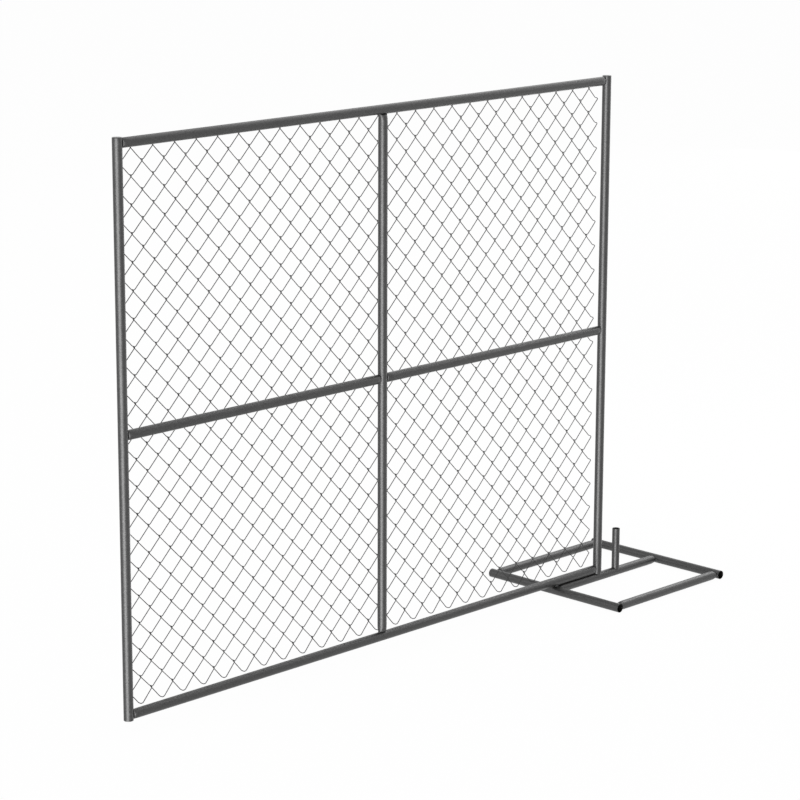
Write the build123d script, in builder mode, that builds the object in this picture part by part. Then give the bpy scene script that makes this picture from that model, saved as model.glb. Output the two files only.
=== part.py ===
"""Construction safety barrier: a chain-link fence panel that stands on a tube stand.

Millimetres, +Z up, +X along the fence towards the stand, +Y towards the mesh side.
The origin is on the floor, under the middle of the whole barrier.
"""
import os
from math import sqrt

from build123d import *

# Panel frame
post_spacing = 3000.0  # between the axes of the two side posts
rail_spacing = 2397.0  # between the axes of the top and bottom rails
tube_od = 42.0
tube_wall = 1.8
top_overrun = 2.7  # top of a side post past the outer edge of the top rail
foot_overrun = 0.1  # foot of a side post past the outer edge of the bottom rail
weld_gap = 0.3  # root gap at every welded joint

# Plates that close the tops of the side posts
cap_plate = 2.0
cap_inset = 0.2  # edge of the plate inside the edge of the post

# Chain-link mesh, woven of zigzag wires that are bent in pairs at the bottom
wire_side = 5.0  # edge of the three-sided section, the area of a 3.7 mm round wire
diamond_height = 117.4
diamond_width = 117.2
wire_pairs = 25
rows = 20  # diamonds in the height
bend_overlap = 4.0  # each bend past its column, behind or in front of its neighbour
bend_depth = 2.4  # each bend out of the mesh's middle plane
foot_width = 16.0  # flat foot of the bend that joins a pair
mesh_clearance = 0.2  # mesh to the backs of the tubes
mesh_drop = 3.5  # middle of the mesh below the middle of the frame
mesh_shift = 3.2  # middle of the mesh off the middle of the frame, away from the stand

# Wire ties on the backs of the middle post and rails, each over one leg of the mesh
tie_side = 2.7  # edge of the square section
tie_span = 14.0  # between the axes of its two legs
tie_offset = 12.0  # from the mesh bend to where the tie crosses the leg
tie_clearance = 0.3
post_tie_rows = 6  # half diamonds between the ties on the middle post
post_ties = 6
rail_tie_columns = 8  # half diamonds between the ties on the middle rails
rail_ties = 3  # on each middle rail

# Stand
side_bar_spacing = 768.0  # between the axes of the two side bars
cross_reach = 387.0  # axes of the front and rear cross bars from the fence line
side_bar_overhang = 25.5  # side bar past the axes of the end cross bars
pin_spacing = 139.0  # from the panel's pin to the pin for the next panel
pin_clearance = 0.5  # between pin and post bore, all round
pin_wall = 2.0
pin_relief = 0.2  # welded foot of the pin under its full radius
pin_height = 198.0  # above the crown of the middle cross bar
seat_clearance = 0.3  # under the foot of the post

tube_r = tube_od / 2
bore_r = tube_r - tube_wall
pin_r = bore_r - pin_clearance
butt = tube_r + weld_gap  # end of a tube from the axis of the tube it is welded to

# Heights
stand_z = tube_r
crown_z = stand_z + tube_r
post_foot_z = crown_z + seat_clearance
bottom_rail_z = post_foot_z + foot_overrun + tube_r
mid_rail_z = bottom_rail_z + rail_spacing / 2
top_rail_z = bottom_rail_z + rail_spacing
post_top_z = top_rail_z + tube_r + top_overrun

# Places along the fence
stand_right = pin_spacing / 2 + side_bar_spacing / 2  # right side bar from the panel's pin
barrier_length = post_spacing + stand_right + tube_od
left_post_x = tube_r - barrier_length / 2
right_post_x = left_post_x + post_spacing
mid_post_x = (left_post_x + right_post_x) / 2
free_pin_x = right_post_x + pin_spacing
right_bar_x = right_post_x + stand_right
left_bar_x = right_bar_x - side_bar_spacing

# Mesh lattice
half_h = diamond_height / 2
half_w = diamond_width / 2
wire_front = wire_side / sqrt(3)  # apex of the section from its centre
wire_back = wire_side / sqrt(12)  # flat of the section from its centre
mesh_y = tube_r + mesh_clearance + wire_front + bend_depth
mesh_x = mid_post_x - mesh_shift
mesh_z = mid_rail_z - mesh_drop


def straight_tube(start, length, direction):
    """Round tube from a point along a direction, with plain square ends."""
    with BuildPart() as tube:
        with BuildSketch(Plane(origin=start, z_dir=direction)):
            Circle(tube_r)
            Circle(bore_r, mode=Mode.SUBTRACT)
        extrude(amount=length)
    return tube


def save(name, piece):
    """Label a finished piece and write it to its own file."""
    piece.part.label = name
    export_step(piece.part, f"parts/{name}.step")


os.makedirs("parts", exist_ok=True)

# Side posts, capped at the top and open at the foot
post_length = post_top_z - cap_plate - weld_gap - post_foot_z
for side, x in (("left", left_post_x), ("right", right_post_x)):
    save(f"{side}_post", straight_tube((x, 0, post_foot_z), post_length, (0, 0, 1)))
    with BuildPart() as post_cap:
        with BuildSketch(Plane(origin=(x, 0, post_top_z - cap_plate))):
            Circle(tube_r - cap_inset)
        extrude(amount=cap_plate)
    save(f"{side}_post_cap", post_cap)

# Top and bottom rails between the side posts
for name, z in (("top_rail", top_rail_z), ("bottom_rail", bottom_rail_z)):
    save(name, straight_tube((left_post_x + butt, 0, z), post_spacing - 2 * butt, (1, 0, 0)))

# Middle post between the top and bottom rails
save("mid_post", straight_tube((mid_post_x, 0, bottom_rail_z + butt), rail_spacing - 2 * butt, (0, 0, 1)))

# Middle rail, in two pieces on either side of the middle post
for side, x in (("left", left_post_x), ("right", mid_post_x)):
    save(f"mid_rail_{side}", straight_tube((x + butt, 0, mid_rail_z), post_spacing / 2 - 2 * butt, (1, 0, 0)))


def wire_path():
    """Points of one pair of zigzag wires about its own middle column, joined by a foot at the bottom.

    Right-hand bends lie at the back and left-hand bends at the front, so that each bend
    passes its neighbour's.
    """
    top = rows * half_h
    outside = half_w + bend_overlap
    down = []
    up = []
    for row in range(rows - 1, -rows, -1):
        z = row * half_h
        at_side = (row + rows) % 2 == 1
        down.append((-outside, -bend_depth, z) if at_side else (bend_overlap, bend_depth, z))
        up.append((outside, bend_depth, z) if at_side else (-bend_overlap, -bend_depth, z))
    foot = [(-foot_width / 2, bend_depth, -top), (foot_width / 2, -bend_depth, -top)]
    first = (bend_overlap, bend_depth, top)
    last = (-bend_overlap, -bend_depth, top)
    return [first] + down + foot + up[::-1] + [last]


# One pair of mesh wires, then a copy of it in every second column
with BuildPart() as wire_pair:
    with BuildLine() as zigzag:
        Polyline(*wire_path())
    with BuildSketch(Plane(origin=zigzag.line @ 0, x_dir=(0, 1, 0), z_dir=zigzag.line % 0)):
        RegularPolygon(radius=wire_front, side_count=3, rotation=180)
    sweep(transition=Transition.RIGHT)
for number in range(wire_pairs):
    column_x = mesh_x + (number - (wire_pairs - 1) / 2) * diamond_width
    with BuildPart() as mesh_wire:
        add(wire_pair.part.moved(Location((column_x, mesh_y, mesh_z))))
    save(f"mesh_wire_{number + 1:02d}", mesh_wire)

# Where a tie crosses its leg of the mesh, from the bend that the leg starts at
leg_run = half_w + 2 * bend_overlap
tie_dx = tie_offset - bend_overlap
tie_dz = tie_offset * half_h / leg_run
leg_y = mesh_y - bend_depth + 2 * bend_depth * (tie_offset + wire_side + tie_side / 2) / leg_run
tie_back_y = leg_y + wire_back + tie_clearance + tie_side / 2


def wire_tie(place, along, off_axis):
    """Staple of bent wire that lies along a tube, with its feet on the tube's back.

    off_axis is how far the tie stands from the tube's back line.
    """
    foot_y = sqrt(tube_r**2 - (abs(off_axis) - tie_side / 2) ** 2) + tie_clearance
    plane = Plane(origin=place, x_dir=along, z_dir=Vector(along).cross(Vector(0, 1, 0)))
    side = tie_span / 2
    with BuildPart() as tie:
        with BuildLine(plane) as bent:
            Polyline((-side, foot_y), (-side, tie_back_y), (side, tie_back_y), (side, foot_y))
        with BuildSketch(Plane(origin=bent.line @ 0, x_dir=along, z_dir=bent.line % 0)):
            Rectangle(tie_side, tie_side)
        sweep(transition=Transition.RIGHT)
    return tie


# Ties on the middle post, evenly spaced above and below the middle rail
with BuildPart() as mid_post_ties:
    for number in range(post_ties):
        row = post_tie_rows * (number - post_ties // 2 + (number >= post_ties // 2))
        place = (mesh_x + tie_dx, 0, mesh_z + row * half_h + tie_dz)
        add(wire_tie(place, (0, 0, 1), place[0] - mid_post_x).part)
save("mid_post_ties", mid_post_ties)

# Ties on each half of the middle rail
for side, sign in (("left", -1), ("right", 1)):
    with BuildPart() as rail_tie_row:
        for number in range(rail_ties):
            column = sign * rail_tie_columns * (number + 1 / 2)
            place = (mesh_x + column * half_w + tie_dx, 0, mesh_z + tie_dz)
            add(wire_tie(place, (1, 0, 0), place[2] - mid_rail_z).part)
    save(f"mid_rail_ties_{side}", rail_tie_row)

# Stand: two open side bars, three cross bars between them
side_bar_length = 2 * (cross_reach + side_bar_overhang)
for side, x in (("left", left_bar_x), ("right", right_bar_x)):
    side_bar = straight_tube((x, -side_bar_length / 2, stand_z), side_bar_length, (0, 1, 0))
    save(f"stand_side_bar_{side}", side_bar)
for place, y in (("front", -cross_reach), ("middle", 0.0), ("rear", cross_reach)):
    cross_bar = straight_tube((left_bar_x + butt, y, stand_z), side_bar_spacing - 2 * butt, (1, 0, 0))
    save(f"stand_cross_bar_{place}", cross_bar)

# Pins on the middle cross bar: one inside the panel's post, one free for the next panel
for name, x in (("panel_pin", right_post_x), ("free_pin", free_pin_x)):
    with BuildPart() as pin:
        with BuildSketch(Plane(origin=(x, 0, stand_z))):
            Circle(pin_r - pin_relief)
            Circle(pin_r - pin_wall, mode=Mode.SUBTRACT)
        extrude(amount=post_foot_z - stand_z)
        with BuildSketch(Plane(origin=(x, 0, post_foot_z))):
            Circle(pin_r)
            Circle(pin_r - pin_wall, mode=Mode.SUBTRACT)
        extrude(amount=crown_z + pin_height - post_foot_z)
        with BuildSketch(Plane(origin=(x, 0, stand_z), z_dir=(1, 0, 0))):
            Circle(tube_r + weld_gap)
        extrude(amount=tube_od, both=True, mode=Mode.SUBTRACT)
    save(name, pin)
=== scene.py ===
"""Looks of a construction safety barrier: a chain-link fence panel on a tube stand.

Every piece is built in metres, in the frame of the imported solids: +X along the fence towards the
stand, +Y towards the side the mesh is on, +Z up, with the origin on the floor under the middle.
"""
from __future__ import annotations

import logging
import math
from dataclasses import dataclass, field
from enum import Enum
from typing import Any, Iterable, Sequence

import bpy
from bpy.types import Material, Mesh, Node, NodeSocket, NodeTree, Object
from mathutils import Matrix, Vector

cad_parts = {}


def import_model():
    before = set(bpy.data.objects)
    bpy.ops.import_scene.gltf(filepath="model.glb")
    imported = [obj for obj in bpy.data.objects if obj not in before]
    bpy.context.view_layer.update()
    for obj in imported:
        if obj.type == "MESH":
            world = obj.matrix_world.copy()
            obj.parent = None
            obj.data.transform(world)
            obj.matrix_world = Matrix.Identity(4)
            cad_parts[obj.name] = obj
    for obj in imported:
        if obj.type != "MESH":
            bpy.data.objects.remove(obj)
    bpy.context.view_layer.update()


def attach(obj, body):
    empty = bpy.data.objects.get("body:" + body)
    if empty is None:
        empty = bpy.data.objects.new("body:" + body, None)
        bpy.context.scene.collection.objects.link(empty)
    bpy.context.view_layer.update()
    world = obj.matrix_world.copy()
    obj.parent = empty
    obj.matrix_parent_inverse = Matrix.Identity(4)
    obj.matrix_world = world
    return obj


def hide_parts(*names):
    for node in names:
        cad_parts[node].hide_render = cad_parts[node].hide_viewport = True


log = logging.getLogger("barrier")

Point = tuple[float, float, float]
Ring = tuple[float, float, float]
Face = tuple[int, ...]
WeldLine = list[tuple[Vector, float]]
Source = Node | NodeSocket
Sockets = dict[str, NodeSocket]

MM = 0.001
ALONG: Point = (1, 0, 0)
BACKWARD: Point = (0, 1, 0)
UPRIGHT: Point = (0, 0, 1)
ROUND_SIDES = 64
TURNS = [2 * math.pi * i / ROUND_SIDES for i in range(ROUND_SIDES)]
CIRCLE = [(math.cos(turn), math.sin(turn)) for turn in TURNS]
SHARP_ANGLE = math.radians(32)
INPUT_KINDS = {int: "NodeSocketInt", float: "NodeSocketFloat", tuple: "NodeSocketVector"}
WHITE = (1.0, 1.0, 1.0, 1.0)


class Body(str, Enum):
    """The two rigid bodies that pieces ride on."""

    PANEL = "panel"
    STAND = "stand"


class Slot(str, Enum):
    """The record's material slots."""

    FRAME = "frame_tube"
    CAP = "post_cap"
    WIRE = "mesh_wire"
    STAND = "stand_tube"


class EndCut(Enum):
    """How a tube ends: sawn and free, pressed narrow and welded to a crossing tube, or cut round one."""

    FREE = "free"
    PRESSED = "pressed"
    SADDLE = "saddle"


def linear(hex_colour: str) -> tuple[float, float, float, float]:
    """Turn an sRGB hex colour into linear RGBA.

    Args:
        hex_colour: Colour such as "#44464a".

    Returns:
        Linear red, green, blue and an alpha of 1.
    """
    parts = [int(hex_colour[i : i + 2], 16) / 255 for i in (1, 3, 5)]
    red, green, blue = (c / 12.92 if c <= 0.04045 else ((c + 0.055) / 1.055) ** 2.4 for c in parts)
    return red, green, blue, 1.0


def connect(tree: NodeTree, node: Node, inputs: dict[Any, Any]) -> None:
    """Set or link the inputs of a node.

    Args:
        tree: Node tree that the node is in.
        node: The node.
        inputs: Input name or number to a value, a socket, or a node that gives its first output.
    """
    for key, value in inputs.items():
        source = value.outputs[0] if isinstance(value, Node) else value
        if isinstance(source, NodeSocket):
            tree.links.new(source, node.inputs[key])
        else:
            node.inputs[key].default_value = source


def add_node(tree: NodeTree, kind: str, inputs: dict[Any, Any] | None = None, **settings: Any) -> Node:
    """Add one node to a tree, with its settings, values and links.

    Args:
        tree: Node tree to add to.
        kind: Node type.
        inputs: Inputs as in connect.
        settings: Properties of the node.

    Returns:
        The new node.
    """
    node = tree.nodes.new(kind)
    for name, value in settings.items():
        setattr(node, name, value)
    connect(tree, node, inputs or {})
    return node


def start_material(name: str) -> tuple[Material, Node, NodeSocket]:
    """Start a material from the plain shader.

    Args:
        name: What the real material is.

    Returns:
        The material, its shader, and the place on the piece in metres.
    """
    material = bpy.data.materials.new(name)
    material.use_nodes = True
    tree = material.node_tree
    place = add_node(tree, "ShaderNodeTexCoord").outputs["Object"]
    return material, tree.nodes["Principled BSDF"], place


def mottle(
    tree: NodeTree, place: Source, size_mm: float, colours: tuple[str, str], detail: float, grain: float = 0.5
) -> tuple[Source, Source]:
    """Mix two colours in soft patches.

    Args:
        tree: The material's nodes.
        place: Place on the piece in metres.
        size_mm: Size of a patch in millimetres.
        colours: The two hex colours.
        detail: Number of finer layers in the patches.
        grain: Strength of each finer layer beside the one before.

    Returns:
        The colour, and the pattern from 0 to 1 that mixed it.
    """
    layers = {"Vector": place, "Scale": 1 / (size_mm * MM), "Detail": detail, "Roughness": grain}
    patch = add_node(tree, "ShaderNodeTexNoise", layers)
    first, second = (linear(colour) for colour in colours)
    tint = add_node(tree, "ShaderNodeMix", {"Factor": patch, 6: first, 7: second}, data_type="RGBA")
    return tint.outputs[2], patch


def add_relief(tree: NodeTree, shader: Node, place: NodeSocket, size_mm: float, depth_mm: float) -> None:
    """Make a shader's surface finely uneven.

    Args:
        tree: The material's nodes.
        shader: The material's shader.
        place: Place on the piece in metres.
        size_mm: Width of a bump in millimetres.
        depth_mm: Height of a bump in millimetres.
    """
    height = add_node(tree, "ShaderNodeTexNoise", {"Vector": place, "Scale": 1 / (size_mm * MM)})
    bump = add_node(tree, "ShaderNodeBump", {"Height": height, "Strength": 1.0, "Distance": depth_mm * MM})
    connect(tree, shader, {"Normal": bump})


@dataclass(frozen=True)
class MicaCoat:
    """Dark grey powder coat with iron mica flake, on drawn steel tube.

    The flake reflects like a dull metal, so the highlights are broad and soft, and a thin clear skin
    catches the light at flat angles. Sprayed and baked, so it has a fine orange peel and clouds
    slightly over a hand's width. The flakes themselves, some 0.1 mm wide, are drawn as flecks of 7 mm
    so that their grain shows in the render.
    """

    name: str = "iron_mica_coated_steel"
    colour: str = "#424242"
    cloud_colour: str = "#3d3d3d"
    roughness: float = 0.52
    roughness_spread: float = 0.05
    metallic: float = 1.0
    skin: float = 0.4
    skin_roughness: float = 0.3
    peel_mm: float = 1.6
    peel_depth_mm: float = 0.02
    cloud_mm: float = 140.0
    fleck_mm: float = 7.0
    fleck_share: float = 0.2
    fleck_low: float = 0.3  # range of the noise that makes the flecks
    fleck_high: float = 0.7

    def material(self) -> Material:
        """Build the node material.

        Returns:
            The coat.
        """
        coat, shader, place = start_material(self.name)
        tree = coat.node_tree
        colours = (self.cloud_colour, self.colour)
        tint, cloud = mottle(tree, place, self.cloud_mm, colours, detail=3.0, grain=0.6)
        flakes = {"Vector": place, "Scale": 1 / (self.fleck_mm * MM), "Detail": 1.0}
        fleck = add_node(tree, "ShaderNodeTexNoise", flakes)
        low, high = 1 - self.fleck_share, 1 + self.fleck_share
        span = {"From Min": self.fleck_low, "From Max": self.fleck_high, "To Min": low, "To Max": high}
        glint = add_node(tree, "ShaderNodeMapRange", {"Value": fleck, **span})
        speckled = add_node(tree, "ShaderNodeVectorMath", {0: tint, "Scale": glint}, operation="SCALE")
        dull, bright = self.roughness + self.roughness_spread, self.roughness - self.roughness_spread
        shine = add_node(tree, "ShaderNodeMapRange", {"Value": cloud, "To Min": dull, "To Max": bright})
        connect(tree, shader, {"Base Color": speckled, "Roughness": shine, "Metallic": self.metallic})
        connect(tree, shader, {"Coat Weight": self.skin, "Coat Roughness": self.skin_roughness})
        add_relief(tree, shader, place, self.peel_mm, self.peel_depth_mm)
        return coat


@dataclass(frozen=True)
class ZincWire:
    """Galvanised steel wire, weathered.

    Hot dipped and drawn through a wipe, so the zinc is dull grey with short lighter and darker patches.
    """

    name: str = "galvanised_wire"
    colour: str = "#343434"
    patch_colour: str = "#2a2a2a"
    roughness: float = 0.6
    specular: float = 0.15
    patch_mm: float = 9.0
    grain_mm: float = 0.7
    grain_depth_mm: float = 0.03

    def material(self) -> Material:
        """Build the node material.

        Returns:
            The zinc.
        """
        zinc, shader, place = start_material(self.name)
        tree = zinc.node_tree
        tint, _ = mottle(tree, place, self.patch_mm, (self.patch_colour, self.colour), detail=2.0)
        surface = {"Base Color": tint, "Roughness": self.roughness, "Specular IOR Level": self.specular}
        connect(tree, shader, surface)
        add_relief(tree, shader, place, self.grain_mm, self.grain_depth_mm)
        return zinc


@dataclass(frozen=True)
class BareBore:
    """Sawn edge and inside of a tube: mill steel that the coat did not reach, with scale and dust, drawn near
    black as painted shade for the dark inside of the tube.
    """

    name: str = "mill_steel_with_painted_shade"
    # near black: painted shade for the dark inside of the tube, darker than bare steel would be
    colour: str = "#060606"
    dust_colour: str = "#0e0d0c"
    roughness: float = 0.9
    specular: float = 0.05
    dust_mm: float = 14.0

    def material(self) -> Material:
        """Build the node material.

        Returns:
            The bare steel, drawn near black as painted shade.
        """
        steel, shader, place = start_material(self.name)
        tree = steel.node_tree
        tint, _ = mottle(tree, place, self.dust_mm, (self.colour, self.dust_colour), detail=4.0)
        surface = {"Base Color": tint, "Roughness": self.roughness, "Specular IOR Level": self.specular}
        connect(tree, shader, surface)
        return steel


@dataclass(frozen=True)
class Finishes:
    """The finished materials, made once."""

    coat: Material
    wire: Material
    bore: Material


@dataclass(frozen=True)
class Sizes:
    """Sizes shared by the sub-assemblies, in millimetres, as in the part's source."""

    post_spacing: float = 3000.0
    rail_spacing: float = 2397.0
    tube_od: float = 42.0
    tube_wall: float = 1.8
    top_overrun: float = 2.7
    foot_overrun: float = 0.1
    weld_gap: float = 0.3
    seat_clearance: float = 0.3
    pin_spacing: float = 139.0
    side_bar_spacing: float = 768.0

    @property
    def tube_r(self) -> float:
        """Outer radius of every tube."""
        return self.tube_od / 2

    @property
    def bore_r(self) -> float:
        """Inner radius of every tube."""
        return self.tube_r - self.tube_wall

    @property
    def butt(self) -> float:
        """End of a tube from the axis of the tube that it is welded to."""
        return self.tube_r + self.weld_gap

    @property
    def crown_z(self) -> float:
        """Top of the stand's bars."""
        return self.tube_od

    @property
    def post_foot_z(self) -> float:
        """Foot of the side posts."""
        return self.crown_z + self.seat_clearance

    @property
    def bottom_rail_z(self) -> float:
        """Axis of the bottom rail."""
        return self.post_foot_z + self.foot_overrun + self.tube_r

    @property
    def mid_rail_z(self) -> float:
        """Axis of the middle rail."""
        return self.bottom_rail_z + self.rail_spacing / 2

    @property
    def top_rail_z(self) -> float:
        """Axis of the top rail."""
        return self.bottom_rail_z + self.rail_spacing

    @property
    def post_top_z(self) -> float:
        """Top of the plates on the side posts."""
        return self.top_rail_z + self.tube_r + self.top_overrun

    @property
    def stand_reach(self) -> float:
        """Axis of the stand's right side bar from the panel's pin."""
        return (self.pin_spacing + self.side_bar_spacing) / 2

    @property
    def left_post_x(self) -> float:
        """Axis of the left post."""
        return self.tube_r - (self.post_spacing + self.stand_reach + self.tube_od) / 2

    @property
    def right_post_x(self) -> float:
        """Axis of the right post, on the panel's pin."""
        return self.left_post_x + self.post_spacing

    @property
    def mid_post_x(self) -> float:
        """Axis of the middle post."""
        return self.left_post_x + self.post_spacing / 2


def new_piece(name: str, mesh: Mesh) -> Object:
    """Put a mesh in the scene as a piece at the origin.

    Args:
        name: Name of the piece.
        mesh: Mesh in metres, already in place.

    Returns:
        The new object.
    """
    piece = bpy.data.objects.new(name, mesh)
    bpy.context.scene.collection.objects.link(piece)
    return piece


def dress(piece: Object, body: Body, nodes: Iterable[str] = ()) -> None:
    """Make a piece ride on its body and hide the solids it stands for.

    Args:
        piece: The finished piece.
        body: Body that carries it.
        nodes: Solids that it replaces.
    """
    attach(piece, body.value)
    if nodes:
        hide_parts(*nodes)
    log.info("%s rides on %s with %d faces", piece.name, body.value, len(piece.data.polygons))


def band(here: int, there: int) -> list[Face]:
    """Faces between two rings of points.

    Args:
        here: Number of the first ring's first point.
        there: Number of the second ring's first point.

    Returns:
        One face for each side of the rings.
    """
    sides = [(i, (i + 1) % ROUND_SIDES) for i in range(ROUND_SIDES)]
    return [(here + j, here + i, there + i, there + j) for i, j in sides]


def smooth_mesh(name: str, points: Sequence[Vector], faces: Sequence[Face], *finishes: Material) -> Mesh:
    """Make a mesh that is smooth between its sharp edges.

    Args:
        name: Name of the mesh.
        points: Points in millimetres.
        faces: Numbers of each face's points.
        finishes: Materials, the first of them on every face.

    Returns:
        Mesh in metres.
    """
    mesh = bpy.data.meshes.new(name)
    mesh.from_pydata([point * MM for point in points], [], faces)
    for finish in finishes:
        mesh.materials.append(finish)
    mesh.polygons.foreach_set("use_smooth", [True] * len(faces))
    mesh.set_sharp_from_angle(angle=SHARP_ANGLE)
    return mesh


def new_tree(name: str, values: dict[str, Any], start: str = "") -> tuple[NodeTree, Sockets, Node]:
    """Start a Geometry Nodes tree with named inputs.

    Args:
        name: Name of the tree.
        values: Input name to a value of its kind.
        start: Name of the geometry input, where the tree takes one.

    Returns:
        The tree, its input sockets by name, and its output node.
    """
    tree = bpy.data.node_groups.new(name, "GeometryNodeTree")
    kinds = {start: "NodeSocketGeometry"} if start else {}
    kinds |= {label: INPUT_KINDS[type(value)] for label, value in values.items()}
    for label, kind in kinds.items():
        tree.interface.new_socket(name=label, in_out="INPUT", socket_type=kind)
    tree.interface.new_socket(name="Geometry", in_out="OUTPUT", socket_type="NodeSocketGeometry")
    source = add_node(tree, "NodeGroupInput")
    sockets = {socket.name: socket for socket in source.outputs if socket.name in kinds}
    return tree, sockets, add_node(tree, "NodeGroupOutput")


def bend_wire(tree: NodeTree, count: Source | int, place: Source, radius: Source, steps: Source) -> Node:
    """Bend a wire's middle line through its points.

    Args:
        tree: Geometry Nodes tree.
        count: Number of points.
        place: Place of each point, worked out from its number.
        radius: Radius of the bends.
        steps: Points that round a bend.

    Returns:
        Node that gives the bent curve.
    """
    line = add_node(tree, "GeometryNodeMeshLine", {"Count": count})
    moved = add_node(tree, "GeometryNodeSetPosition", {"Geometry": line, "Position": place})
    curve = add_node(tree, "GeometryNodeMeshToCurve", {"Mesh": moved})
    bends = {"Curve": curve, "Count": steps, "Radius": radius, "Limit Radius": True}
    return add_node(tree, "GeometryNodeFilletCurve", bends, mode="POLY")


def sweep_round(
    tree: NodeTree, curve: Source, sides: Source, radius: Source, scale: Source | float = 1.0
) -> Node:
    """Sweep a round section along a curve, closed at its ends and smooth.

    Args:
        tree: Geometry Nodes tree.
        curve: The curve.
        sides: Number of sides of the section.
        radius: Radius of the section.
        scale: Factor on the radius along the curve.

    Returns:
        Node that gives the mesh.
    """
    ring = add_node(tree, "GeometryNodeCurvePrimitiveCircle", {"Resolution": sides, "Radius": radius})
    section = {"Curve": curve, "Profile Curve": ring, "Scale": scale, "Fill Caps": True}
    swept = add_node(tree, "GeometryNodeCurveToMesh", section)
    return add_node(tree, "GeometryNodeSetShadeSmooth", {"Geometry": swept})


def end_tree(tree: NodeTree, out: Node, geometry: Source, finish: Material) -> None:
    """End a tree in plain geometry of one finish.

    Args:
        tree: Geometry Nodes tree.
        out: The tree's output node.
        geometry: What the tree made.
        finish: Material of all of it.
    """
    real = add_node(tree, "GeometryNodeRealizeInstances", {"Geometry": geometry})
    dressed = add_node(tree, "GeometryNodeSetMaterial", {"Geometry": real, "Material": finish})
    connect(tree, out, {0: dressed})


def bake_nodes(piece: Object, tree: NodeTree, values: dict[str, Any]) -> None:
    """Run a node tree on a piece and keep the result as the piece's plain mesh.

    Args:
        piece: Object that holds the tree's starting mesh.
        tree: Geometry Nodes tree.
        values: Input name to value.
    """
    modifier = piece.modifiers.new(tree.name, "NODES")
    modifier.node_group = tree
    for item in tree.interface.items_tree:
        if item.item_type == "SOCKET" and item.in_out == "INPUT" and item.name in values:
            modifier[item.identifier] = values[item.name]
    bpy.context.view_layer.update()
    result = piece.evaluated_get(bpy.context.evaluated_depsgraph_get())
    mesh = bpy.data.meshes.new_from_object(result)
    piece.modifiers.clear()
    piece.data = mesh
    mesh.name = piece.name


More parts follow.
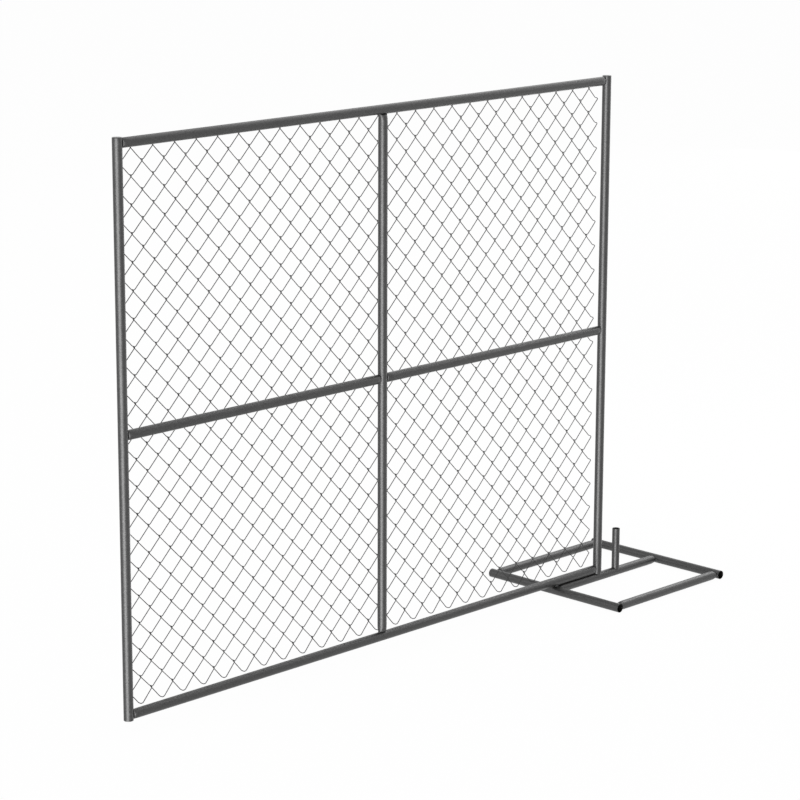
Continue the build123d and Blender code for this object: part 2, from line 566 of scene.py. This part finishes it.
@dataclass
class Tube:
    """One round tube on a straight axis, in millimetres.

    start and end are points on the axis. An end that is welded to or cut round a crossing tube starts
    from a point on that tube's own axis, across is that tube's direction, and cross_r is the distance
    kept from its axis. A pressed end narrows over press_length, to press_half on either side of the
    plane of the two axes. mouth is how far the coat runs into the bore at the end.
    """

    name: str
    start: Vector
    end: Vector
    outer: float
    inner: float
    start_cut: EndCut = EndCut.FREE
    end_cut: EndCut = EndCut.FREE
    across: Vector = field(default_factory=lambda: Vector(UPRIGHT))
    cross_r: float = 0.0
    press_length: float = 33.0
    press_half: float = 11.0
    press_steps: int = 14
    rim: float = 0.45
    mouth: float = 0.0

    def frame(self) -> tuple[Vector, Vector, Vector]:
        """Directions along the axis, along the crossing tubes, and square to both.

        Returns:
            Three unit vectors.
        """
        along = (self.end - self.start).normalized()
        across = self.across - along * self.across.dot(along)
        if across.length < 0.5:  # no crossing tube, and the axis runs that way
            across = along.orthogonal()
        across.normalize()
        return along, across, along.cross(across)

    def setback(self, cut: EndCut, sideways: float) -> float:
        """How far a point of the end stands back from the end's axis point.

        Args:
            cut: The end's cut.
            sideways: Distance from the plane of the two axes.

        Returns:
            Distance along the axis in millimetres.
        """
        if cut is EndCut.FREE:
            return 0.0
        if cut is EndCut.PRESSED:
            return self.cross_r
        return math.sqrt(max(self.cross_r**2 - sideways**2, 0.0))

    def end_rings(self, cut: EndCut) -> tuple[list[Ring], list[Ring]]:
        """Rings of one end: those on the outside, then those on its edge and in the bore.

        Args:
            cut: The end's cut.

        Returns:
            Two lists of inset from the end, half width and half depth, in millimetres.
        """
        rim, outer, inner = self.rim, self.outer, self.inner
        if cut is not EndCut.PRESSED:
            outside = [(rim, outer, outer), (0.0, outer - rim, outer - rim)]
            return outside, [(0.0, inner + rim, inner + rim), (rim, inner, inner)]
        deepest = outer - self.press_half
        turns = [math.pi / 2 * k / self.press_steps for k in range(self.press_steps + 1)]
        bends = [(self.press_length * (1 - math.sin(t)), deepest * (1 - math.cos(t))) for t in turns]
        outside = [(inset, outer, outer - pressed) for inset, pressed in bends]
        return outside, [(inset, inner, inner - pressed) for inset, pressed in reversed(bends)]

    def mesh(self, finishes: Finishes) -> Mesh:
        """Build the tube's wall with eased rims, its sawn edges and bore in their own finish.

        Args:
            finishes: Materials for the outside and the bore.

        Returns:
            Closed mesh in metres.
        """
        along, across, side = self.frame()
        length = (self.end - self.start).length
        outside, edge = self.end_rings(self.start_cut)
        end_outside, end_edge = self.end_rings(self.end_cut)
        first_bare = len(outside) - (self.start_cut is not EndCut.PRESSED)
        end_coated = len(end_outside) + (self.end_cut is EndCut.PRESSED)
        if self.mouth:
            end_edge.append((self.mouth, self.inner, self.inner))
            end_coated = len(end_outside) + len(end_edge)
        rings = [(False, *ring) for ring in outside + edge]
        rings += [(True, *ring) for ring in reversed(end_outside + end_edge)]
        bare = range(first_bare, len(rings) - end_coated)
        points: list[Vector] = []
        for at_end, inset, half_width, half_depth in rings:
            for cosine, sine in CIRCLE:
                sideways = half_depth * sine
                if at_end:
                    place = length - self.setback(self.end_cut, sideways) - inset
                else:
                    place = self.setback(self.start_cut, sideways) + inset
                points.append(self.start + along * place + across * (half_width * cosine) + side * sideways)
        faces: list[Face] = []
        slots: list[int] = []
        for ring in range(len(rings)):
            faces += band(ring * ROUND_SIDES, (ring + 1) % len(rings) * ROUND_SIDES)
            # faces of the sawn edges and bore take the near-black finish, which paints the shade inside the
            # tube
            slots += [int(ring in bare)] * ROUND_SIDES
        mesh = smooth_mesh(self.name, points, faces, finishes.coat, finishes.bore)
        mesh.polygons.foreach_set("material_index", slots)
        return mesh

    def weld_lines(self, half_width: float = 5.0, points: int = 21) -> list[WeldLine]:
        """Lines of the two short welds at each pressed end, where the tubes come closest.

        Args:
            half_width: How far a weld runs to each side of the touching point, in millimetres.
            points: Number of points along a weld.

        Returns:
            Lines of points in millimetres, each point with a bead size from 0 to 1.
        """
        along, across, side = self.frame()
        lines = []
        for cut, origin, inward in ((self.start_cut, self.start, along), (self.end_cut, self.end, -along)):
            if cut is not EndCut.PRESSED:
                continue
            for edge in (across, -across):
                line = []
                for i in range(points):
                    share = 2 * i / (points - 1) - 1
                    sideways = share * half_width
                    reach = (self.cross_r + math.sqrt(self.outer**2 - sideways**2)) / 2
                    out = self.outer * math.sqrt(1 - (sideways / self.press_half) ** 2)
                    point = origin + inward * reach + edge * out + side * sideways
                    line.append((point, math.sqrt(max(1 - share**2, 0.0))))
                lines.append(line)
        return lines


def stock_tube(sizes: Sizes, name: str, start: Point, end: Point, across: Point | None = None) -> Tube:
    """A tube of the frame's stock, free at both ends or welded between two others.

    Args:
        sizes: Shared sizes.
        name: Solid that the tube stands for.
        start: Start of the axis in millimetres.
        end: End of the axis in millimetres.
        across: Direction of the two tubes that it is pressed and welded between, where it is.

    Returns:
        The tube.
    """
    tube = Tube(name, Vector(start), Vector(end), sizes.tube_r, sizes.bore_r)
    if across:
        tube.start_cut = tube.end_cut = EndCut.PRESSED
        tube.across, tube.cross_r = Vector(across), sizes.butt
    return tube


def build_tubes(tubes: Iterable[Tube], body: Body, finishes: Finishes) -> list[WeldLine]:
    """Build and dress the tubes of one body.

    Args:
        tubes: Tubes, each named for the solid that it stands for.
        body: Body that carries them.
        finishes: Materials for the outside and the bore.

    Returns:
        Lines of the welds between them.
    """
    lines = []
    for tube in tubes:
        dress(new_piece(f"{tube.name}_tube", tube.mesh(finishes)), body, [tube.name])
        lines += tube.weld_lines()
    return lines


@dataclass
class WeldBeads:
    """Short weld beads at the pressed ends of one body's tubes, coated with them."""

    name: str
    bead_r: float = 2.6
    least: float = 0.3
    ripple: float = 0.14
    ripple_pitch: float = 3.2
    sides: int = 8

    def tree(self, values: dict[str, Any], material: Material) -> NodeTree:
        """Nodes that sweep a rippled bead along each line.

        Args:
            values: Input name to value.
            material: Finish of the bead.

        Returns:
            Geometry Nodes tree.
        """
        tree, size, out = new_tree("weld_bead", values, start="Lines")
        math_node = "ShaderNodeMath"
        curve = add_node(tree, "GeometryNodeMeshToCurve", {"Mesh": size["Lines"]})
        groove = add_node(tree, "GeometryNodeInputNamedAttribute", {"Name": "groove"}, data_type="FLOAT")
        run = add_node(tree, "GeometryNodeSplineParameter").outputs["Length"]
        turns = add_node(tree, math_node, {0: run, 1: size["Ripple pitch"]}, operation="DIVIDE")
        phase = add_node(tree, math_node, {0: turns, 1: 2 * math.pi}, operation="MULTIPLY")
        wave = add_node(tree, math_node, {0: phase}, operation="SINE")
        swell = add_node(tree, math_node, {0: wave, 1: size["Ripple"], 2: 1.0}, operation="MULTIPLY_ADD")
        scale = add_node(tree, math_node, {0: swell, 1: groove}, operation="MULTIPLY")
        bead = sweep_round(tree, curve, size["Sides"], size["Bead radius"], scale)
        end_tree(tree, out, bead, material)
        return tree

    def build(self, lines: Sequence[WeldLine], material: Material) -> Object:
        """Make the beads on their lines.

        Args:
            lines: Open lines of points in millimetres, each with its bead size.
            material: Finish of the bead.

        Returns:
            The piece, a plain mesh.
        """
        points: list[Vector] = []
        edges: list[tuple[int, int]] = []
        grooves: list[float] = []
        for line in lines:
            first = len(points)
            for i, (point, depth) in enumerate(line):
                points.append(point * MM)
                grooves.append(self.least + (1 - self.least) * depth)
                if i:
                    edges.append((first + i - 1, first + i))
        mesh = bpy.data.meshes.new(self.name)
        mesh.from_pydata(points, edges, [])
        mesh.attributes.new("groove", "FLOAT", "POINT").data.foreach_set("value", grooves)
        piece = new_piece(self.name, mesh)
        values = {
            "Bead radius": self.bead_r * MM,
            "Ripple": self.ripple,
            "Ripple pitch": self.ripple_pitch * MM,
            "Sides": self.sides,
        }
        bake_nodes(piece, self.tree(values, material), values)
        return piece


@dataclass
class PanelFrame:
    """Welded tube frame of the panel: side posts, rails, middle post, and the plates on the posts."""

    sizes: Sizes
    finishes: Finishes
    plate: float = 2.0
    plate_inset: float = 0.2
    plate_edge: float = 0.5
    plate_ease: float = 0.15

    def tubes(self) -> list[Tube]:
        """The frame's tubes, each named for the solid that it stands for.

        Returns:
            Tubes in millimetres.
        """
        s = self.sizes
        top = s.post_top_z - self.plate - s.weld_gap
        tubes = []
        for side, x in (("left", s.left_post_x), ("right", s.right_post_x)):
            tubes.append(stock_tube(s, f"{side}_post", (x, 0, s.post_foot_z), (x, 0, top)))
        for name, z, x0, x1 in (
            ("top_rail", s.top_rail_z, s.left_post_x, s.right_post_x),
            ("bottom_rail", s.bottom_rail_z, s.left_post_x, s.right_post_x),
            ("mid_rail_left", s.mid_rail_z, s.left_post_x, s.mid_post_x),
            ("mid_rail_right", s.mid_rail_z, s.mid_post_x, s.right_post_x),
        ):
            tubes.append(stock_tube(s, name, (x0, 0, z), (x1, 0, z), UPRIGHT))
        low, high = (s.mid_post_x, 0, s.bottom_rail_z), (s.mid_post_x, 0, s.top_rail_z)
        tubes.append(stock_tube(s, "mid_post", low, high, ALONG))
        return tubes

    def cap_mesh(self, name: str, x: float) -> Mesh:
        """Round plate with eased edges that closes a post's top.

        Args:
            name: Name of the mesh.
            x: The post's axis, in millimetres.

        Returns:
            Closed mesh in metres.
        """
        edge, ease = self.plate_edge, self.plate_ease
        radius = self.sizes.tube_r - self.plate_inset
        high = self.sizes.post_top_z
        low = high - self.plate
        rings = [
            (low, radius - edge),
            (low + edge / 2, radius),
            (high - edge, radius),
            (high - ease, radius - ease),
            (high, radius - edge),
        ]
        points = [Vector((x + r * cosine, r * sine, z)) for z, r in rings for cosine, sine in CIRCLE]
        faces: list[Face] = []
        for ring in range(len(rings) - 1):
            faces += band((ring + 1) * ROUND_SIDES, ring * ROUND_SIDES)
        faces.append(tuple(reversed(range(ROUND_SIDES))))
        faces.append(tuple(range(len(points) - ROUND_SIDES, len(points))))
        return smooth_mesh(name, points, faces, self.finishes.coat)

    def build(self) -> None:
        """Build and dress the frame's tubes, plates and welds."""
        lines = build_tubes(self.tubes(), Body.PANEL, self.finishes)
        for side, x in (("left", self.sizes.left_post_x), ("right", self.sizes.right_post_x)):
            name = f"{side}_post_plate"
            dress(new_piece(name, self.cap_mesh(name, x)), Body.PANEL, [f"{side}_post_cap"])
        dress(WeldBeads("panel_welds").build(lines, self.finishes.coat), Body.PANEL)


# How the weave's nodes place each point of a pair of wires: a result, its operation, and what goes in,
# as an input of the tree, an earlier result or a number. A bend has three points, its tip and one on
# either side, and the bends run down one wire, through the foot that joins the pair, and up the other.
WEAVE_STEPS: tuple[tuple[Any, ...], ...] = (
    ("foot bend", "MULTIPLY", "Rows", 2.0),
    ("bends", "MULTIPLY_ADD", "foot bend", 2.0, 1.0),
    ("points", "MULTIPLY", "bends", 3.0),
    ("third", "DIVIDE", "index", 3.0),
    ("bend", "FLOOR", "third"),
    ("within", "MODULO", "index", 3.0),
    ("step", "SUBTRACT", "within", 1.0),
    ("away", "SUBTRACT", "bend", "foot bend"),
    ("height", "ABSOLUTE", "away"),
    ("wire", "SIGN", "away"),
    # Sideways, bends at odd heights on the outside of the pair and others past its middle
    ("odd", "MODULO", "height", 2.0),
    ("outward", "MULTIPLY_ADD", "odd", 2.0, -1.0),
    ("side", "MULTIPLY", "wire", "outward"),
    ("wide", "ADD", "Half width", "Outer hook"),
    ("spread", "SUBTRACT", "wide", "Inner hook"),
    ("reach", "MULTIPLY_ADD", "odd", "spread", "Inner hook"),
    ("off tip", "ABSOLUTE", "step"),
    ("back", "MULTIPLY", "off tip", "Hook back"),
    ("pulled", "SUBTRACT", "reach", "back"),
    ("bend x", "MULTIPLY", "side", "pulled"),
    ("lifted", "MINIMUM", "height", 1.0),
    ("is foot", "SUBTRACT", 1.0, "lifted"),
    ("half foot", "MULTIPLY", "Foot", 0.5),
    ("foot step", "MULTIPLY", "step", "half foot"),
    ("across", "MULTIPLY_ADD", "is foot", "foot step", "bend x"),
    # In depth, from leg to leg through the tip, and drawn up to the tubes in the tight corner
    ("turned", "MULTIPLY", "outward", "step"),
    ("low", "LESS_THAN", "height", "Tight rows"),
    ("near", "GREATER_THAN", "across", "Tight from"),
    ("tight", "MULTIPLY", "low", "near"),
    ("drawn", "MULTIPLY", "tight", "Slack"),
    ("leg", "SUBTRACT", "Depth", "drawn"),
    ("swing", "MULTIPLY", "turned", "leg"),
    ("deep", "SUBTRACT", "swing", "drawn"),
    # In height, with the foot a little lower
    ("row", "SUBTRACT", "height", "Rows"),
    ("climb", "MULTIPLY", "step", "wire"),
    ("rise", "MULTIPLY", "climb", "Hook rise"),
    ("up", "MULTIPLY_ADD", "row", "Half height", "rise"),
    ("dip", "MULTIPLY", "is foot", "Foot drop"),
    ("level", "SUBTRACT", "up", "dip"),
    # Radius of the bend
    ("wider", "SUBTRACT", "Foot radius", "Bend radius"),
    ("radius", "MULTIPLY_ADD", "is foot", "wider", "Bend radius"),
)


@dataclass
class WovenMesh:
    """Chain-link mesh of hooked round wires, bent in pairs at the bottom, in millimetres.

    Legs that rise to the right lie in front and legs that fall to the right lie behind, and each bend
    wraps from one to the other round its neighbour's bend. The lower corner beside the stand is drawn
    up to the tubes, which leaves room for the free pin when the panel is folded back.
    """

    sizes: Sizes
    finishes: Finishes
    wire_r: float = 1.85
    width: float = 117.2  # of a diamond
    height: float = 117.4  # of a diamond
    pairs: int = 25
    rows: int = 20
    inner_hook: float = 3.6  # tip past the pair's middle
    outer_hook: float = 4.1  # tip past the pair's side
    depth: float = 7.9  # legs from the middle plane
    hook_back: float = 6.8  # ends of a hook behind its tip
    hook_rise: float = 2.9  # ends of a hook above and below its tip
    bend_r: float = 6.0
    foot: float = 6.0  # width of the foot's flat
    foot_r: float = 15.0
    foot_drop: float = 3.5
    top_cut: float = 6.0  # taken off the wires' tops
    plane_y: float = 30.8
    lift: float = 1.0  # middle of the mesh above the frame's middle
    shift: float = 0.4  # middle of the mesh off the middle post, away from the stand
    slack: float = 5.9  # how far the tight corner is drawn up
    tight_reach: float = 170.0  # edge of the tight corner from the right post
    tight_rows: int = 4
    sides: int = 8
    bend_steps: int = 3

    def inputs(self, column: float) -> dict[str, Any]:
        """What the nodes take for one pair of wires.

        Args:
            column: The pair's middle, in millimetres.

        Returns:
            Input name to value, lengths in metres.
        """
        lengths = {
            "Half width": self.width / 2,
            "Half height": self.height / 2,
            "Inner hook": self.inner_hook,
            "Outer hook": self.outer_hook,
            "Depth": self.depth,
            "Hook back": self.hook_back,
            "Hook rise": self.hook_rise,
            "Bend radius": self.bend_r,
            "Foot": self.foot,
            "Foot radius": self.foot_r,
            "Foot drop": self.foot_drop,
            "Top cut": self.top_cut,
            "Slack": self.slack,
            "Tight from": self.sizes.right_post_x - self.tight_reach - column,
            "Wire radius": self.wire_r,
        }
        return {
            "Rows": self.rows,
            "Tight rows": self.tight_rows,
            "Sides": self.sides,
            "Bend steps": self.bend_steps,
            "Middle": (column * MM, self.plane_y * MM, (self.sizes.mid_rail_z + self.lift) * MM),
            **{name: length * MM for name, length in lengths.items()},
        }

    def tree(self) -> NodeTree:
        """Nodes that bend one pair of wires from its sizes.

        Returns:
            Geometry Nodes tree.
        """
        tree, size, out = new_tree("woven_wire_pair", self.inputs(0.0))
        math_node = "ShaderNodeMath"
        known: dict[str, Source] = dict(size, index=add_node(tree, "GeometryNodeInputIndex"))
        for result, operation, *terms in WEAVE_STEPS:
            inputs = {i: known[term] if isinstance(term, str) else term for i, term in enumerate(terms)}
            known[result] = add_node(tree, math_node, inputs, operation=operation)
        parts = {0: known["across"], 1: known["deep"], 2: known["level"]}
        local = add_node(tree, "ShaderNodeCombineXYZ", parts)
        place = add_node(tree, "ShaderNodeVectorMath", {0: local, 1: size["Middle"]}, operation="ADD")
        bent = bend_wire(tree, known["points"], place, known["radius"], size["Bend steps"])
        length = add_node(tree, "GeometryNodeCurveLength", {"Curve": bent})
        last = add_node(tree, math_node, {0: length, 1: size["Top cut"]}, operation="SUBTRACT")
        kept = {"Curve": bent, 4: size["Top cut"], 5: last}
        cut = add_node(tree, "GeometryNodeTrimCurve", kept, mode="LENGTH")
        wires = sweep_round(tree, cut, size["Sides"], size["Wire radius"])
        end_tree(tree, out, wires, self.finishes.wire)
        return tree

    def build(self) -> None:
        """Build and dress every pair of wires."""
        tree = self.tree()
        for number in range(self.pairs):
            node = f"mesh_wire_{number + 1:02d}"
            column = self.sizes.mid_post_x - self.shift + (number - (self.pairs - 1) / 2) * self.width
            piece = new_piece(f"{node}_pair", bpy.data.meshes.new(node))
            bake_nodes(piece, tree, self.inputs(column))
            dress(piece, Body.PANEL, [node])


@dataclass
class WireTies:
    """Bent wire staples that hold the mesh to the backs of the middle post and rails.

    Sizes are in millimetres, and rows and columns count half diamonds from the middle of the mesh.
    """

    sizes: Sizes
    finishes: Finishes
    weave: WovenMesh
    wire_r: float = 1.4
    span: float = 14.0
    bend_r: float = 3.0
    crown_y: float = 26.3
    out_x: float = 8.0
    out_z: float = 10.2
    post_rows: tuple[int, ...] = (-18, -12, -6, 6, 12, 18)
    left_columns: tuple[int, ...] = (-20, -12, -4)
    right_columns: tuple[int, ...] = (4, 12, 20)
    points: int = 4
    sides: int = 10
    bend_steps: int = 5

    def inputs(self, turn: float, off_axis: float) -> dict[str, Any]:
        """What the nodes take for one group of ties.

        Args:
            turn: Turn of the ties from level, in radians.
            off_axis: How far they stand from the back line of their tube, in millimetres.

        Returns:
            Input name to value, lengths in metres.
        """
        return {
            "Span": self.span * MM,
            "Foot": math.sqrt(self.sizes.tube_r**2 - off_axis**2) * MM,
            "Crown": self.crown_y * MM,
            "Bend radius": self.bend_r * MM,
            "Wire radius": self.wire_r * MM,
            "Turn": turn,
            "Sides": self.sides,
            "Bend steps": self.bend_steps,
        }

    def tree(self) -> NodeTree:
        """Nodes that bend one staple and put it on every place.

        A staple has four points: a foot, the two ends of its crown, and the other foot.

        Returns:
            Geometry Nodes tree.
        """
        tree, size, out = new_tree("wire_tie", self.inputs(0.0, 0.0), start="Places")
        math_node, mix_node = "ShaderNodeMath", "ShaderNodeMix"
        middle = (self.points - 1) / 2
        side = add_node(tree, math_node, {0: size["Span"], 1: 0.5}, operation="MULTIPLY")
        other = add_node(tree, math_node, {0: side, 1: -1.0}, operation="MULTIPLY")
        index = add_node(tree, "GeometryNodeInputIndex")
        late = add_node(tree, math_node, {0: index, 1: middle}, operation="GREATER_THAN")
        ends = add_node(tree, math_node, {0: index, 1: middle}, operation="SUBTRACT")
        from_middle = add_node(tree, math_node, {0: ends}, operation="ABSOLUTE")
        at_foot = add_node(tree, math_node, {0: from_middle, 1: 1.0}, operation="GREATER_THAN")
        x = add_node(tree, mix_node, {0: late, 2: other, 3: side}, data_type="FLOAT")
        y = add_node(tree, mix_node, {0: at_foot, 2: size["Crown"], 3: size["Foot"]}, data_type="FLOAT")
        place = add_node(tree, "ShaderNodeCombineXYZ", {0: x, 1: y})
        bent = bend_wire(tree, self.points, place, size["Bend radius"], size["Bend steps"])
        staple = sweep_round(tree, bent, size["Sides"], size["Wire radius"])
        turn = add_node(tree, "ShaderNodeCombineXYZ", {1: size["Turn"]})
        spread = {"Points": size["Places"], "Instance": staple, "Rotation": turn}
        ties = add_node(tree, "GeometryNodeInstanceOnPoints", spread)
        end_tree(tree, out, ties, self.finishes.wire)
        return tree

    def build(self) -> None:
        """Build and dress the ties of the middle post and of each middle rail."""
        s, weave = self.sizes, self.weave
        half_w, half_h = weave.width / 2, weave.height / 2
        x0 = s.mid_post_x - weave.shift + self.out_x
        z0 = s.mid_rail_z + weave.lift + self.out_z
        off_post, off_rail = x0 - s.mid_post_x, z0 - s.mid_rail_z
        up, level = math.pi / 2, 0.0
        groups = [
            ("mid_post_ties", [(x0, z0 + row * half_h) for row in self.post_rows], up, off_post),
            ("mid_rail_ties_left", [(x0 + c * half_w, z0) for c in self.left_columns], level, off_rail),
            ("mid_rail_ties_right", [(x0 + c * half_w, z0) for c in self.right_columns], level, off_rail),
        ]
        tree = self.tree()
        for node, places, turn, off_axis in groups:
            mesh = bpy.data.meshes.new(node)
            mesh.from_pydata([Vector((x, 0, z)) * MM for x, z in places], [], [])
            piece = new_piece(f"{node}_bent", mesh)
            bake_nodes(piece, tree, self.inputs(turn, off_axis))
            dress(piece, Body.PANEL, [node])


@dataclass
class Stand:
    """Flat tube stand: two open side bars, three cross bars and two pins."""

    sizes: Sizes
    finishes: Finishes
    cross_reach: float = 387.0
    overhang: float = 25.5
    pin_clearance: float = 0.5
    pin_wall: float = 2.0
    pin_height: float = 198.0
    pin_mouth: float = 25.0

    def tubes(self) -> list[Tube]:
        """The stand's tubes, each named for the solid that it stands for.

        Returns:
            Tubes in millimetres.
        """
        s = self.sizes
        right_x = s.right_post_x + s.stand_reach
        left_x = right_x - s.side_bar_spacing
        reach = self.cross_reach + self.overhang
        z = s.tube_r
        tubes = []
        for side, x in (("left", left_x), ("right", right_x)):
            tubes.append(stock_tube(s, f"stand_side_bar_{side}", (x, -reach, z), (x, reach, z)))
        for place, y in (("front", -self.cross_reach), ("middle", 0.0), ("rear", self.cross_reach)):
            tubes.append(stock_tube(s, f"stand_cross_bar_{place}", (left_x, y, z), (right_x, y, z), BACKWARD))
        pin_r = s.bore_r - self.pin_clearance
        for name, x in (("panel_pin", s.right_post_x), ("free_pin", s.right_post_x + s.pin_spacing)):
            pin = Tube(
                name,
                Vector((x, 0, z)),
                Vector((x, 0, s.crown_z + self.pin_height)),
                outer=pin_r,
                inner=pin_r - self.pin_wall,
                start_cut=EndCut.SADDLE,
                across=Vector(ALONG),
                cross_r=s.butt,
                mouth=self.pin_mouth,
            )
            tubes.append(pin)
        return tubes

    def build(self) -> None:
        """Build and dress the stand's tubes and welds."""
        lines = build_tubes(self.tubes(), Body.STAND, self.finishes)
        dress(WeldBeads("stand_welds").build(lines, self.finishes.coat), Body.STAND)


@dataclass(frozen=True)
class Softbox:
    """One area light, aimed at the middle of the panel unless another aim is given.

    azimuth is in degrees from straight in front of the panel towards its left end, elevation in
    degrees above level, radiance as a multiple of the white surround's, and width, height, distance
    and aim in metres.
    """

    name: str
    azimuth: float
    elevation: float
    width: float
    height: float
    radiance: float
    distance: float = 16.0
    aim: Point = (0.0, 0.0, 1.2)

    def build(self) -> None:
        """Add the light to the scene."""
        turn, rise = math.radians(self.azimuth), math.radians(self.elevation)
        out = Vector((-math.sin(turn) * math.cos(rise), -math.cos(turn) * math.cos(rise), math.sin(rise)))
        light = bpy.data.lights.new(self.name, "AREA")
        light.shape = "RECTANGLE"
        light.size, light.size_y = self.width, self.height
        light.energy = self.radiance * math.pi * self.width * self.height
        lamp = bpy.data.objects.new(self.name, light)
        lamp.location = Vector(self.aim) + out * self.distance
        lamp.rotation_euler = (-out).to_track_quat("-Z", "Y").to_euler()
        lamp.visible_camera = False
        bpy.context.scene.collection.objects.link(lamp)


def seen_rays(tree: NodeTree, *rays: str) -> Source:
    """Tell rays that are seen from rays that only carry light.

    Args:
        tree: Nodes of the surround or the floor.
        rays: Kinds of ray that count as seen.

    Returns:
        1 for those rays and 0 for others.
    """
    path = add_node(tree, "ShaderNodeLightPath")
    found: Source = path.outputs[rays[0]]
    for ray in rays[1:]:
        found = add_node(tree, "ShaderNodeMath", {0: found, 1: path.outputs[ray]}, operation="MAXIMUM")
    return found


@dataclass
class Studio:
    """White studio: camera at the photograph's place, softboxes, white floor and surround.

    The camera's eye is in millimetres from where the left post meets the bottom rail. Its sight and
    the floor are in metres.
    """

    sizes: Sizes
    focal_px: float = 2803.07
    image_px: float = 800.0
    sensor: float = 36.0
    sight: float = 200.0
    eye: Point = (-7123.8, -8534.4, 3969.8)
    right: Point = (0.69935961, -0.71476299, 0.00316234)
    down: Point = (-0.16236923, -0.16317562, -0.97314436)
    ambient: float = 0.55
    floor_size: float = 60.0
    floor_colour: str = "#f4f4f4"
    floor_glow: float = 0.97
    softboxes: tuple[Softbox, ...] = (
        Softbox("left_softbox", 62.0, -10.0, 13.2, 18.0, 7.6),
        Softbox("left_back_softbox", 135.0, 22.0, 14.9, 6.2, 0.85),
        Softbox("right_overhead", -83.0, 52.0, 13.2, 11.6, 0.85),
        Softbox("right_strip", -70.0, 0.0, 5.6, 18.0, 0.9),
        Softbox("right_back_softbox", -120.0, 36.0, 5.6, 5.6, 1.7),
        Softbox("right_back_strip", -115.0, -10.0, 4.2, 14.0, 1.9),
        Softbox("stand_softbox", -92.0, 44.0, 1.9, 1.8, 3.6, distance=4.5, aim=(1.34, 0.0, 0.02)),
    )

    def camera(self) -> None:
        """Set the camera that was solved from the straight tubes."""
        data = bpy.data.cameras.new("photo_camera")
        data.sensor_width = self.sensor
        data.lens = self.focal_px * self.sensor / self.image_px
        data.clip_end = self.sight
        camera = bpy.data.objects.new("photo_camera", data)
        right, down = Vector(self.right), Vector(self.down)
        back = right.cross(-down)
        turn = Matrix((right, -down, back)).transposed().to_4x4()
        origin = Vector((self.sizes.left_post_x, 0, self.sizes.bottom_rail_z))
        camera.matrix_world = Matrix.Translation((Vector(self.eye) + origin) * MM) @ turn
        bpy.context.scene.collection.objects.link(camera)
        bpy.context.scene.camera = camera

    def world(self) -> None:
        """White surround for the camera and for reflections, softer for the light it casts."""
        world = bpy.data.worlds.new("white_surround")
        world.use_nodes = True
        tree = world.node_tree
        tree.nodes.clear()
        seen = seen_rays(tree, "Is Camera Ray", "Is Glossy Ray", "Is Transmission Ray")
        span = {"To Min": self.ambient, "To Max": 1.0}
        strength = add_node(tree, "ShaderNodeMapRange", {"Value": seen, **span})
        white = add_node(tree, "ShaderNodeBackground", {"Color": WHITE, "Strength": strength})
        add_node(tree, "ShaderNodeOutputWorld", {"Surface": white})
        bpy.context.scene.world = world

    def floor(self) -> None:
        """White floor that keeps the barrier's shadow."""
        half = self.floor_size / 2
        corners = [(-half, -half, 0), (half, -half, 0), (half, half, 0), (-half, half, 0)]
        mesh = bpy.data.meshes.new("studio_floor")
        mesh.from_pydata(corners, [], [(0, 1, 2, 3)])
        paper = bpy.data.materials.new("white_paper_floor")
        paper.use_nodes = True
        tree = paper.node_tree
        tree.nodes.clear()
        seen = seen_rays(tree, "Is Camera Ray", "Is Glossy Ray")
        share = add_node(tree, "ShaderNodeMath", {0: seen, 1: self.floor_glow}, operation="MULTIPLY")
        lit = add_node(tree, "ShaderNodeBsdfDiffuse", {"Color": linear(self.floor_colour)})
        glow = add_node(tree, "ShaderNodeEmission", {"Color": WHITE, "Strength": 1.0})
        both = add_node(tree, "ShaderNodeMixShader", {0: share, 1: lit, 2: glow})
        add_node(tree, "ShaderNodeOutputMaterial", {"Surface": both})
        mesh.materials.append(paper)
        floor = new_piece("studio_floor", mesh)
        floor.visible_glossy = False
        floor.visible_shadow = False

    def build(self) -> None:
        """Build the camera, lights, surround and floor."""
        bpy.context.scene.view_settings.view_transform = "Standard"
        self.camera()
        self.world()
        for softbox in self.softboxes:
            softbox.build()
        self.floor()


def main() -> None:
    """Build the barrier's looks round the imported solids."""
    logging.basicConfig(level=logging.INFO, format="%(name)s: %(message)s")
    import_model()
    sizes = Sizes()
    finishes = Finishes(MicaCoat().material(), ZincWire().material(), BareBore().material())
    Studio(sizes).build()
    PanelFrame(sizes, finishes).build()
    weave = WovenMesh(sizes, finishes)
    weave.build()
    WireTies(sizes, finishes, weave).build()
    Stand(sizes, finishes).build()


if __name__ == "__main__":
    main()
